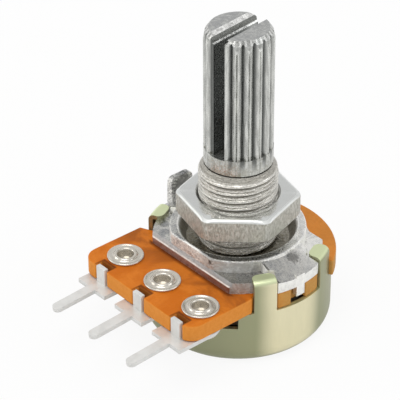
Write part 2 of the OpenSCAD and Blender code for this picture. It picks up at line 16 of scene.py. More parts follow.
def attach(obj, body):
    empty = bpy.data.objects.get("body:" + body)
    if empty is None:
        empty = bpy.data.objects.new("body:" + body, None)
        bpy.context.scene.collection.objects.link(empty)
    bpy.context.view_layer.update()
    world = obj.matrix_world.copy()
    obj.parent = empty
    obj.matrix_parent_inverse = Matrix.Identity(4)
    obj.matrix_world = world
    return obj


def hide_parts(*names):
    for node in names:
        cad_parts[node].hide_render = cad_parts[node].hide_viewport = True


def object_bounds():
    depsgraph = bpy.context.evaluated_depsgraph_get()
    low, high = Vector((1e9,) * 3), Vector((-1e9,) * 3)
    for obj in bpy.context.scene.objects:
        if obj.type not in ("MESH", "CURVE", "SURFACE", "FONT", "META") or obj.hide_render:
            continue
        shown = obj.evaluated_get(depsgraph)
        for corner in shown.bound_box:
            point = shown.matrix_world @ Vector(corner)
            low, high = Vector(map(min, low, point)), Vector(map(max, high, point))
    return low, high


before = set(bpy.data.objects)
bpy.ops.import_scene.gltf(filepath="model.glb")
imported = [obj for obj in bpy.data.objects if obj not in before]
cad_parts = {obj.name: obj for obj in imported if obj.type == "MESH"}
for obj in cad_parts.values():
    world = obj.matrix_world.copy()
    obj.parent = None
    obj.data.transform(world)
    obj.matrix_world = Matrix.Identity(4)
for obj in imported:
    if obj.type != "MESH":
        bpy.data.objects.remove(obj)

CAD_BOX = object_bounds()
LOG = logging.getLogger("potentiometer")
MM = 0.001

# What the finishes share with the shapes: teeth of the knurl, its turn in degrees, and the rivets' spacing
TEETH = 18
KNURL_TURN = -5.0
PITCH = 5.0

# Tolerances of the mesh work: merging, slivers, cuts, being at a place and standing apart
WELD = 0.0005
SLIVER = 0.0004
CUT = 0.0001
NEAR = 0.01
APART = 0.05
# Degrees up to which two faces count as one flat face
FLAT = 0.6

# Contrast of a pattern, as the part of a noise's range that becomes 0 to 1
MILD = (0.36, 0.64)
STRONG = (0.38, 0.62)

Colour = Triple = Tuple[float, float, float]
Point = Tuple[float, float]
Span = Tuple[float, float, float, float]
Edge = bmesh.types.BMEdge
Face = bmesh.types.BMFace
Vert = bmesh.types.BMVert


class Body(Enum):
    """The two bodies that the joint joins."""

    HOUSING = "housing"
    SPINDLE = "spindle"


def srgb(*parts: int) -> Colour:
    """Turns a display colour, in parts of 0 to 255, into linear light."""
    shares = (part / 255 for part in parts)
    return tuple(share / 12.92 if share <= 0.04045 else ((share + 0.055) / 1.055) ** 2.4 for share in shares)


# Shader graph


def operator(operation: str, turned: bool = False) -> Callable[["Signal", "Operand"], "Signal"]:
    """Makes an operator of Signal.

    Args:
        operation: Operation of the Math node.
        turned: Whether the other value comes first.

    Returns:
        The operator.
    """
    def apply(this: "Signal", other: "Operand") -> "Signal":
        """Joins two values."""
        return this.graph.math(operation, *((other, this) if turned else (this, other)))

    return apply


class Signal:
    """An output of a node, for use in Python expressions."""

    def __init__(self, graph: "Graph", socket: Optional[bpy.types.NodeSocket]) -> None:
        """Wraps an output socket of a graph."""
        self.graph = graph
        self.socket = socket

    __add__ = __radd__ = operator("ADD")
    __sub__ = operator("SUBTRACT")
    __rsub__ = operator("SUBTRACT", turned=True)
    __mul__ = __rmul__ = operator("MULTIPLY")
    __truediv__ = operator("DIVIDE")

    def magnitude(self) -> "Signal":
        """Drops the sign."""
        return self.graph.math("ABSOLUTE", self)

    def rise(self, low: float, high: float, ends: Point = (0.0, 1.0)) -> "Signal":
        """Goes smoothly from 0 to 1 over a range, or between other ends."""
        inputs = {"Value": self, 1: low, 2: high, 3: ends[0], 4: ends[1]}
        return self.graph.node("MapRange", {"interpolation_type": "SMOOTHSTEP"}, inputs)

    def fall(self, low: float, high: float) -> "Signal":
        """Goes smoothly from 1 to 0 over a range."""
        return self.rise(low, high, (1.0, 0.0))

    def within(self, span: Span) -> "Signal":
        """Rises between a span's first two values and falls between its last two."""
        return self.rise(*span[:2]) * self.fall(*span[2:])


Operand = Union[Signal, int, float, Sequence[float]]
Inputs = Dict[Union[str, int], Operand]


class Graph:
    """Builds the nodes of one material or world."""

    def __init__(self, tree: bpy.types.NodeTree) -> None:
        """Starts from an emptied tree."""
        self.tree = tree
        self.tree.nodes.clear()

    def node(
        self,
        kind: str,
        settings: Optional[Dict[str, object]] = None,
        inputs: Optional[Inputs] = None,
        output: Union[str, int] = 0,
    ) -> Signal:
        """Adds a node.

        Args:
            kind: Type of the node, without its ShaderNode prefix.
            settings: Properties of the node.
            inputs: Values or links of its sockets.
            output: Name or place of the output to return.

        Returns:
            That output.
        """
        made = self.tree.nodes.new("ShaderNode" + kind)
        for key, value in (settings or {}).items():
            setattr(made, key, value)
        for key, value in (inputs or {}).items():
            socket = made.inputs[key]
            if isinstance(value, Signal):
                self.tree.links.new(value.socket, socket)
            elif socket.type == "RGBA":
                socket.default_value = (*value, 1.0)
            else:
                socket.default_value = value
        return Signal(self, made.outputs[output] if len(made.outputs) else None)

    def math(self, operation: str, first: Operand, second: Operand = 0.0) -> Signal:
        """Adds a Math node."""
        return self.node("Math", {"operation": operation}, {0: first, 1: second})

    def vector(
        self, operation: str, first: Operand, second: Operand = (0, 0, 0), output: str = "Vector",
    ) -> Signal:
        """Adds a Vector Math node."""
        return self.node("VectorMath", {"operation": operation}, {0: first, 1: second}, output)

    def mix(self, share: Operand, first: Operand, second: Operand) -> Signal:
        """Mixes two colours, with the given share of the second."""
        inputs = {"Factor": share, 6: first, 7: second}
        return self.node("Mix", {"data_type": "RGBA", "clamp_factor": True}, inputs, 2)

    def layers(self, colour: Operand, *coats: Tuple[Operand, Operand]) -> Operand:
        """Lays coats over a colour.

        Args:
            colour: The colour below them.
            coats: Share and colour of each coat, from the lowest up.

        Returns:
            The colour that shows.
        """
        for share, coat in coats:
            colour = self.mix(share, colour, coat)
        return colour

    def position(self, stretch: Triple = (1, 1, 1)) -> Signal:
        """Gives the place on the piece in millimetres, stretched along X, Y and Z."""
        place = self.node("TexCoord", output="Object")
        return self.vector("MULTIPLY", place, tuple(part / MM for part in stretch))

    def axes(self, names: str) -> Tuple[Signal, ...]:
        """Gives the place in millimetres along each of the named axes."""
        place = {0: self.position()}
        return tuple(self.node("SeparateXYZ", inputs=place, output=axis) for axis in names)

    def facing(self) -> Signal:
        """Gives the Z part of the surface's normal, from -1 to 1."""
        normal = self.node("TexCoord", output="Normal")
        return self.node("SeparateXYZ", inputs={0: normal}, output="Z")

    def upright(self, low: float, high: float) -> Signal:
        """Masks the faces whose normal has a Z part under low, and leaves out those over high."""
        return self.facing().magnitude().fall(low, high)

    def noise(
        self,
        scale: float,
        detail: float,
        roughness: float,
        stretch: Triple = (1, 1, 1),
        distortion: float = 0.0,
    ) -> Signal:
        """Adds noise over the piece.

        Args:
            scale: Number of features in a millimetre.
            detail: Number of finer layers.
            roughness: Strength of the finer layers.
            stretch: Factors along X, Y and Z.
            distortion: How much the pattern is warped.

        Returns:
            A value around 0.5.
        """
        inputs = {"Vector": self.position(stretch), "Scale": scale, "Detail": detail}
        return self.node("TexNoise", inputs={**inputs, "Roughness": roughness, "Distortion": distortion})

    def radius(self) -> Signal:
        """Gives the distance from the shaft's axis in millimetres."""
        return self.vector("LENGTH", self.position((1, 1, 0)), output="Value")

    def towards(self, direction: Triple) -> Signal:
        """Gives the cosine of the angle round the axis between a place and a unit vector."""
        outward = self.vector("NORMALIZE", self.position((1, 1, 0)))
        return self.vector("DOT_PRODUCT", outward, direction, "Value")

    def spot(self, place: Triple, reach: float, ragged: Signal) -> Signal:
        """Masks a spot whose rim is frayed by a ragged pattern of 0 to 1."""
        far = self.vector("LENGTH", self.vector("SUBTRACT", self.position(), place), output="Value")
        return (far + ragged * (reach * 0.4)).fall(reach * 0.6, reach * 1.2)

    def bump(self, value: Operand, depth: float, under: Optional[Signal] = None) -> Signal:
        """Turns a height pattern into a normal.

        Args:
            value: The pattern, from 0 to 1.
            depth: Depth of the pattern in millimetres.
            under: A normal that it is laid over.

        Returns:
            The normal.
        """
        inputs: Inputs = {"Strength": 1.0, "Distance": depth * MM, "Height": value}
        if under is not None:
            inputs["Normal"] = under
        return self.node("Bump", inputs=inputs)

    def surface(self, inputs: Inputs) -> None:
        """Adds the Principled shader with its inputs, and the material's output."""
        shader = self.node("BsdfPrincipled", inputs=inputs)
        self.node("OutputMaterial", inputs={"Surface": shader})


# Finishes. Shares, contrasts and depths stand beside the colour or the socket that they are for.


@dataclass(frozen=True)
class Finish:
    """A finish that several pieces may share."""

    name: str
    slot: str

    def wire(self, graph: Graph) -> None:
        """Lays the finish's nodes in a material's graph."""
        raise NotImplementedError

    def material(self) -> bpy.types.Material:
        """Gives the material, and makes it the first time.

        Returns:
            The material.
        """
        name = f"finish_{self.name}"
        found = bpy.data.materials.get(name)
        if found is None:
            found = bpy.data.materials.new(name)
            found.use_nodes = True
            self.wire(Graph(found.node_tree))
        return found


@dataclass(frozen=True)
class DieCastZinc(Finish):
    """Cast zinc with a mottled skin, painted shade on the front and the ears, painted brownish shade in the
    hollow, and painted highlights on the side faces, the lip and edges.
    """

    dark: Colour = srgb(152, 154, 156)
    light: Colour = srgb(222, 221, 216)
    # Painted highlight colour: on the side faces, the side towards bright_side, the ears' side faces and
    # glint, the ring's inner lip and a line along the plate's edge
    side: Colour = srgb(250, 249, 245)
    # Painted shade colour, for the faces towards the front and the ears' tops
    painted_shade_grey: Colour = srgb(112, 108, 102)
    # Darker painted shade colour, for the shade spots and the line where the ears leave the ring
    painted_shade_dark: Colour = srgb(62, 60, 56)
    # Painted reflection of the orange board, with painted shadow, for the plate's foot where it meets the
    # board
    board_reflection_shade: Colour = srgb(130, 66, 34)
    # Painted brownish shade for the ring's hollow
    hollow: Colour = srgb(126, 118, 98)
    mottle: float = 0.8
    grain: float = 5.0
    front: Triple = (0.74, -0.67, 0.0)
    bright_side: Triple = (0.7, 0.714, 0.0)
    glint: Triple = (0.9945, -0.105, 0.0)
    hollow_r: float = 5.15
    hollow_z: Point = (-0.35, -0.05)
    lip_r: float = 5.36
    lip_z: Point = (-0.2, -0.06)
    ear_x: float = 5.7
    ear_y: float = -2.3
    crease: Span = (-0.02, 0.02, 0.12, 0.22)
    foot_y: float = -5.4
    foot_z: float = -1.6
    line: Span = (-0.05, 0.0, 0.12, 0.17)
    slope: Span = (-0.05, 0.1, 0.48, 0.52)
    # Painted shade spots in corners by the ears and the plate's front, and on the peg: place, reach and
    # share of each
    painted_shade_spots: Tuple[Tuple[Triple, float, float], ...] = (
        ((6.35, 0.6, -0.6), 0.8, 0.6),
        ((2.5, -5.35, -0.4), 0.3, 0.9),
        ((-6.2, -2.2, -1.15), 0.3, 0.6),
        ((-7.3, -0.1, 0.4), 1.7, 0.65),
    )

    def wire(self, graph: Graph) -> None:
        """Lays the finish's nodes.

        Args:
            graph: The material's graph.
        """
        across, along, height = graph.axes("XYZ")
        radius = graph.radius()
        upright = graph.upright(0.35, 0.8)
        speckle = graph.noise(self.grain, 3, 0.65).rise(*MILD)
        patches = graph.noise(self.mottle, 4, 0.6, distortion=1.2).rise(*STRONG)
        streak = graph.noise(3.5, 3, 0.6, stretch=(1, 1, 0.3))
        # Painted highlight on the faces turned towards bright_side
        worn = graph.towards(self.bright_side).rise(0.55, 0.95)
        glint = upright * graph.towards(self.glint).rise(0.93, 0.98)
        # The ears: painted highlights on their side faces, a painted shade line where they leave the ring,
        # and painted shade on their tops
        behind = along - self.ear_y
        ear = across.magnitude().rise(self.ear_x, self.ear_x + 0.2)
        cheek = ear * upright * behind.magnitude().fall(0.03, 0.06)
        crease = ear * (1.0 - upright) * behind.within(self.crease)
        crown = ear * (1.0 - upright) * graph.towards(self.glint).rise(0.9, 0.96)
        # Painted shade on the faces turned towards the front, left out on the ears behind their crease
        front_shade_mask = graph.towards(self.front).rise(0.76, 0.96) * (1.0 - ear * behind.rise(-0.04, 0.04))
        # The ring: a painted highlight on its inner lip, and painted shade in its hollow
        lip = radius.fall(self.lip_r - 0.05, self.lip_r) * height.rise(*self.lip_z)
        inside = radius.fall(self.hollow_r - 0.12, self.hollow_r + 0.05) * height.fall(*self.hollow_z)
        # The plate's edge at the terminals: painted shade on a slope, a painted highlight line below it, and
        # a reddish foot of painted board reflection and painted shadow where it meets the board
        ahead = along - self.foot_y
        above = height - self.foot_z
        foot = ahead.fall(-0.05, 0.0)
        line = foot * above.within(self.line)
        slope = ahead.fall(0.1, 0.15) * above.within(self.slope)
        painted_shade_spots = (
            (graph.spot(place, reach, speckle) * share, self.painted_shade_dark) for place, reach, share in self.painted_shade_spots
        )
        skin = graph.layers(
            self.dark,
            (patches * 0.6 + speckle * 0.3, self.light),
            (upright * (0.2 + speckle * 0.7), self.side),
            (front_shade_mask * (0.25 + patches * 0.3 + speckle * 0.15), self.painted_shade_grey),
            (worn * (0.6 + patches * 0.4), self.side),
            (graph.math("MAXIMUM", cheek, glint) * (0.7 + speckle * 0.3), self.side),
            (crown * (0.2 + patches * 0.15), self.painted_shade_grey),
            (crease * 0.75, self.painted_shade_dark),
            (lip * 0.85, self.side),
            *painted_shade_spots,
            (foot * above.fall(-0.08, 0.0) * 0.8, self.board_reflection_shade),
            (slope * 0.7, self.dark),
            (line * (0.55 + patches * 0.45), self.side),
            (inside * (0.4 + streak * 0.8), self.hollow),
        )
        dull = upright * (0.4 + worn * 0.3 + cheek * 0.4 - glint * 0.4) + line * 0.5 + slope * 0.75
        ripple = graph.bump(graph.noise(0.9, 3, 0.55), 0.11)
        graph.surface({
            "Base Color": skin,
            "Metallic": 0.97 - dull,
            "Roughness": 0.24 + speckle * 0.12 + upright * 0.1 + slope * 0.2,
            "Normal": graph.bump(speckle * (0.3 + upright * 0.9), 0.018, ripple),
        })


@dataclass(frozen=True)
class CutThread(Finish):
    """Thread cut in the casting: scratched crests with a painted highlight, and painted shade in the roots.
    """

    # Painted shade in the roots and painted highlight on the crests and the chamfered lead-in
    root: Colour = srgb(142, 138, 128)
    crest: Colour = srgb(246, 244, 238)
    root_r: float = 3.16
    crest_r: float = 3.4
    lead_z: float = 5.8

    def wire(self, graph: Graph) -> None:
        """Lays the finish's nodes.

        Args:
            graph: The material's graph.
        """
        lead = graph.axes("Z")[0].rise(self.lead_z - 0.1, self.lead_z + 0.05) * 0.3
        high = graph.math("MAXIMUM", graph.radius().rise(self.root_r, self.crest_r), lead)
        lines = graph.noise(2.4, 4, 0.7, stretch=(0.3, 0.3, 4.5)).rise(*STRONG)
        scratch = graph.noise(5.0, 3, 0.7, stretch=(0.5, 0.5, 2.0)).rise(*MILD)
        graph.surface({
            "Base Color": graph.mix(high * (0.4 + lines * 0.45 + scratch * 0.25), self.root, self.crest),
            "Metallic": 0.95,
            "Roughness": 0.3 - high * 0.12 + scratch * 0.08,
            "Normal": graph.bump(scratch, 0.01, graph.bump(lines, 0.03)),
        })


@dataclass(frozen=True)
class TurnedAlloy(Finish):
    """Shaft alloy, drawn lengthwise, with painted shade in the grooves, painted light on the slot's walls, a
    painted highlight on the teeth's ends, a torn slot edge and a stained collar.

    A tilt is a span of the normal's Z part.
    """

    # Painted shade colour, the base in the grooves
    groove: Colour = srgb(92, 94, 92)
    land: Colour = srgb(218, 219, 215)
    dull: Colour = srgb(170, 171, 172)
    stain: Colour = srgb(128, 124, 104)
    # Bright colour: a painted highlight on the teeth's ends, and bright burrs on the slot's worn edge
    burr_and_highlight: Colour = srgb(252, 252, 250)
    torn: Colour = srgb(98, 98, 94)
    # Painted light colour for the slot's walls
    painted_lit_wall: Colour = srgb(168, 170, 168)
    groove_r: float = 2.72
    land_r: float = 2.93
    wall_r: float = 2.6
    collar_z: float = 8.05
    brink_z: float = 18.68
    near: Triple = (0.994, 0.113, 0.0)
    lower_tilt: Span = (0.42, 0.48, 0.54, 0.6)
    crown_tilt: Span = (0.48, 0.74, 0.76, 0.8)
    worn_tilt: Span = (0.8, 0.86, 0.93, 0.98)

    def wire(self, graph: Graph) -> None:
        """Lays the finish's nodes.

        Args:
            graph: The material's graph.
        """
        across, along, height = graph.axes("XYZ")
        radius = graph.radius()
        drawn = graph.noise(4.5, 3, 0.6, stretch=(1, 1, 0.12)).rise(*MILD)
        spots = graph.noise(3.2, 4, 0.65).rise(*MILD)
        blotch = graph.noise(1.5, 3, 0.6, distortion=1.5).rise(0.4, 0.6)
        # The top: level faces, a painted highlight on the teeth's ends, and the slot's worn edge in two
        # facets
        facing = graph.facing()
        upright = graph.upright(0.1, 0.3)
        level = facing.rise(*self.worn_tilt[2:])
        tip = facing.rise(*self.crown_tilt[:2])
        crown = facing.within(self.crown_tilt)
        worn = facing.within(self.worn_tilt)
        lower = facing.within(self.lower_tilt)
        brink = height.fall(self.brink_z, self.brink_z + 0.1)
        # The knurl: its lands, painted shade in its grooves, and more painted shade in the grooves on the
        # near side where it fades into the collar
        angle = graph.math("ARCTAN2", along, across)
        comb = graph.math("COSINE", (angle - math.radians(KNURL_TURN)) * TEETH)
        flank = comb.magnitude().fall(0.3, 0.85)
        high = radius.rise(self.groove_r, self.land_r)
        above = height - self.collar_z
        collar = above.fall(-0.05, 0.6)
        stained = above.fall(-1.4, -0.5)
        fading = above.rise(-1.3, 0.0) * collar * upright * graph.towards(self.near).rise(0.25, 0.6)
        # Painted light: the slot's walls get a lighter base
        painted_lit_wall = radius.fall(self.wall_r - 0.1, self.wall_r + 0.1) * upright * (1.0 - collar)
        metal = graph.layers(
            self.groove,
            (graph.math("MAXIMUM", high, tip) * (0.6 + drawn * 0.4), self.land),
            (painted_lit_wall * 0.95, self.painted_lit_wall),
            (level * (0.3 + blotch * 0.5), self.dull),
            (crown * (0.1 + flank * 0.9), self.burr_and_highlight),
            (worn, graph.mix(0.45 + blotch * 0.25 + spots * 0.4, self.torn, self.burr_and_highlight)),
            (lower * (0.5 + blotch * 0.3), self.torn),
            (lower * brink * (0.5 + spots * 0.5), self.burr_and_highlight),
            (stained * 0.15 + collar * blotch * 0.35, self.stain),
            (fading * (0.15 + comb.fall(-0.7, 0.1) * 0.75), self.groove),
        )
        rough = 0.06 + crown * 0.6 + worn * 0.4 + lower * 0.1 + collar * 0.5
        lengthwise = graph.bump(drawn * (1.0 - level) * (1.0 - painted_lit_wall), 0.012)
        graph.surface({
            "Base Color": metal,
            "Metallic": 0.9 - crown * flank * 0.5,
            "Roughness": 0.22 + spots * 0.1 + worn * 0.15,
            "Normal": graph.bump(spots * rough, 0.016, lengthwise),
        })


@dataclass(frozen=True)
class NutPlating(Finish):
    """Nickel: smooth on the faces, with a grainy, warmer skin on the flats."""

    face: Colour = srgb(228, 230, 229)
    side: Colour = srgb(202, 201, 194)
    stain: Colour = srgb(154, 152, 142)
    rolled_tilt: Span = (0.15, 0.35, 0.9, 0.99)

    def wire(self, graph: Graph) -> None:
        """Lays the finish's nodes.

        Args:
            graph: The material's graph.
        """
        upright = graph.upright(0.12, 0.4)
        rolled = graph.facing().within(self.rolled_tilt)
        grain = graph.noise(6.5, 3, 0.7, stretch=(1, 1, 0.4)).rise(*MILD)
        cloud = graph.noise(0.9, 3, 0.5)
        flats = graph.mix(grain * 0.8, self.side, self.stain)
        graph.surface({
            "Base Color": graph.layers(self.face, (cloud * 0.3, self.side), (upright, flats)),
            "Metallic": 0.95,
            "Roughness": 0.13 + cloud * 0.08 + rolled * 0.2 + upright * (0.16 + grain * 0.1),
            "Normal": graph.bump(grain * upright, 0.02, graph.bump(cloud, 0.03)),
        })


@dataclass(frozen=True)
class YellowZinc(Finish):
    """Yellow-passivated zinc on drawn sheet: olive, with a painted cream highlight on the side faces round
    one azimuth, and a lighter green on up-facing faces, partly the passivation's own tint and partly painted
    light from above.
    """

    olive: Colour = srgb(158, 160, 128)
    cream: Colour = srgb(236, 229, 194)
    green: Colour = srgb(236, 246, 200)
    highlight_towards: Triple = (0.9945, -0.105, 0.0)

    def wire(self, graph: Graph) -> None:
        """Lays the finish's nodes.

        Args:
            graph: The material's graph.
        """
        drift = (graph.noise(0.16, 2, 0.5) - 0.5) * 0.03
        # Painted highlight: a cream band on the side faces round one azimuth, with a wavering edge
        cream_highlight = (graph.towards(self.highlight_towards) + drift).rise(0.905, 0.99) * graph.upright(0.3, 0.8)
        # Up-facing faces: a greenish tint of the passivation, made lighter with painted light from above
        top = graph.facing().rise(0.25, 0.8)
        drawn = graph.noise(3.0, 4, 0.6, stretch=(1, 1, 0.2))
        coats = ((cream_highlight, self.cream), (top * 0.85, self.green), (drawn * 0.15, self.olive))
        graph.surface({
            "Base Color": graph.layers(self.olive, *coats),
            "Metallic": 0.8,
            "Roughness": 0.3 + drawn * 0.1,
            "Normal": graph.bump(drawn, 0.006),
        })


@dataclass(frozen=True)
class PaperLaminate(Finish):
    """Orange-brown paper laminate with layered edges, painted shade in front of the plate, painted shadow
    where the terminals and the plate meet the board, and paler behind.
    """

    face: Colour = srgb(210, 121, 40)
    deep: Colour = srgb(186, 93, 14)
    contact_shadow: Colour = srgb(74, 34, 18)
    tan: Colour = srgb(206, 136, 62)
    aged: Colour = srgb(176, 128, 62)
    cut: Colour = srgb(182, 146, 84)
    plate_shade: Colour = srgb(134, 76, 34)
    edge: Colour = srgb(222, 146, 66)
    sheets: float = 6.0
    shelf_y: Span = (-8.6, -6.0, -5.2, -4.6)
    plate_y: Span = (-5.95, -5.6, -5.45, -5.3)
    plate_r: Point = (7.6, 7.9)
    notch_w: Point = (0.15, 0.19)
    notch_y: Point = (-10.3, -10.1)
    notch_back: Point = (-10.6, -10.5)
    aged_y: Point = (-4.5, -1.0)

    def wire(self, graph: Graph) -> None:
        """Lays the finish's nodes.

        Args:
            graph: The material's graph.
        """
        across, along = graph.axes("XY")
        upright = graph.upright(0.1, 0.95)
        cloud = graph.noise(0.34, 4, 0.6, distortion=0.6).rise(*STRONG)
        fibre = graph.noise(3.5, 4, 0.6).rise(*MILD)
        sheets = graph.node(
            "TexWave",
            {"wave_type": "BANDS", "bands_direction": "Z"},
            {"Vector": graph.position(), "Scale": self.sheets, "Distortion": 1.5, "Detail": 2.0},
        )
        # Painted shadow where a terminal or the plate touches the board, with places seen in shares of the
        # spacing across
        place = across / PITCH
        beside = (place - graph.math("ROUND", place)).magnitude()
        notch = beside.fall(*self.notch_w) * along.fall(*self.notch_y)
        plate = along.within(self.plate_y) * graph.radius().fall(*self.plate_r)
        top = graph.layers(
            self.face,
            (cloud * 0.6, self.deep),
            # Painted shade: a browner band on the board in front of the plate
            (along.within(self.shelf_y) * (0.15 + cloud * 0.5), self.plate_shade),
            (notch * 0.85, self.contact_shadow),
            (plate * 0.8, self.contact_shadow),
        )
        sides = graph.layers(
            self.edge,
            (sheets * 0.25, self.face),
            # Painted shadow on the notches' back walls
            (notch * along.rise(*self.notch_back) * 0.6, self.contact_shadow),
        )
        older = graph.layers(self.tan, (cloud * 0.5, self.aged), (upright, self.cut))
        coats = ((upright, sides), (along.rise(*self.aged_y) * 0.75, older), (fibre * 0.15, self.deep))
        graph.surface({
            "Base Color": graph.layers(top, *coats),
            "Metallic": 0.0,
            "Specular IOR Level": 0.06,
            "Roughness": 0.3 + fibre * 0.1 + upright * 0.2,
            "Normal": graph.bump(fibre + sheets * upright * 0.4, 0.006),
        })


@dataclass(frozen=True)
class TinPlate(Finish):
    """Tin over brass, rolled or upset."""

    base: Colour
    dull: Colour
    gloss: float
    metallic: float

    def wire(self, graph: Graph) -> None:
        """Lays the finish's nodes.

        Args:
            graph: The material's graph.
        """
        rolled = graph.noise(3.2, 4, 0.6, stretch=(1, 0.2, 1))
        cloud = graph.noise(1.1, 3, 0.5).rise(0.35, 0.7)
        graph.surface({
            "Base Color": graph.mix(0.2 + cloud * 0.3, self.base, self.dull),
            "Metallic": self.metallic,
            "Roughness": self.gloss + rolled * 0.12,
            "Normal": graph.bump(rolled, 0.006),
        })


@dataclass(frozen=True)
class GrainedSkin(Finish):
    """Moulding, printed ink or rolled metal: a plain skin with a fine grain."""

    base: Colour
    shade: Colour
    gloss: float
    metallic: float = 0.0
    share: float = 1.0
    scale: float = 6.0
    detail: float = 3.0
    stretch: Triple = (1, 1, 1)
    depth: float = 0.008

    def wire(self, graph: Graph) -> None:
        """Lays the finish's nodes.

        Args:
            graph: The material's graph.
        """
        grain = graph.noise(self.scale, self.detail, 0.6, self.stretch)
        graph.surface({
            "Base Color": graph.mix(grain * self.share, self.base, self.shade),
            "Metallic": self.metallic,
            "Roughness": self.gloss + grain * 0.15,
            "Normal": graph.bump(grain, self.depth),
        })


CAST = DieCastZinc("die_cast_zinc", "die_cast_zinc")
THREAD = CutThread("cut_thread", "die_cast_zinc")
ALLOY = TurnedAlloy("turned_alloy", "shaft_alloy")
NICKEL = NutPlating("nut_plating", "plated_nut")
PASSIVATED = YellowZinc("yellow_zinc", "plated_can")
LAMINATE = PaperLaminate("paper_laminate", "phenolic_board")
TINNED = TinPlate("tinned_sheet", "tinned_terminal", srgb(230, 230, 228), srgb(198, 197, 194), 0.34, 0.36)
RIVETED = TinPlate("tinned_rivet", "tinned_rivet", srgb(222, 217, 208), srgb(188, 180, 166), 0.15, 0.78)
BLACK = srgb(0, 0, 0)
# Metallic, share, scale, detail, stretch and depth of rolled metal
ROLLED = (1.0, 0.2, 4.0, 4.0, (1, 0.2, 1), 0.006)
SPRING_STEEL = GrainedSkin("spring_steel", "spring_steel", srgb(120, 120, 122), BLACK, 0.32, *ROLLED)
BRONZE = GrainedSkin("spring_bronze", "spring_bronze", srgb(206, 160, 96), BLACK, 0.26, *ROLLED)
MOULDED = GrainedSkin("moulded_rotor", "moulded_rotor", srgb(226, 222, 210), srgb(200, 196, 184), 0.5)
CARBON = GrainedSkin("carbon_ink", "carbon_ink", srgb(34, 34, 36), srgb(52, 52, 54), 0.45)
SILVER = GrainedSkin("silver_ink", "silver_ink", srgb(188, 188, 184), srgb(160, 160, 156), 0.36)


# Mesh tools


def arc(middle: Point, radius: float, start: int, stop: int) -> List[Point]:
    """Gives the points of an arc, 30 degrees apart, from one angle to another."""
    turns = (math.radians(angle) for angle in range(start, stop + 1, 30))
    return [(middle[0] + radius * math.cos(turn), middle[1] + radius * math.sin(turn)) for turn in turns]


def at_level(edge: Edge, level: float) -> bool:
    """Tests whether an edge lies at a height."""
    return all(abs(vert.co.z - level) < NEAR for vert in edge.verts)


def add_object(name: str, data: bpy.types.ID) -> bpy.types.Object:
    """Puts a new object into the scene.

    Args:
        name: Its name.
        data: Its mesh, camera or lamp.

    Returns:
        The object.
    """
    made = bpy.data.objects.new(name, data)
    bpy.context.scene.collection.objects.link(made)
    return made


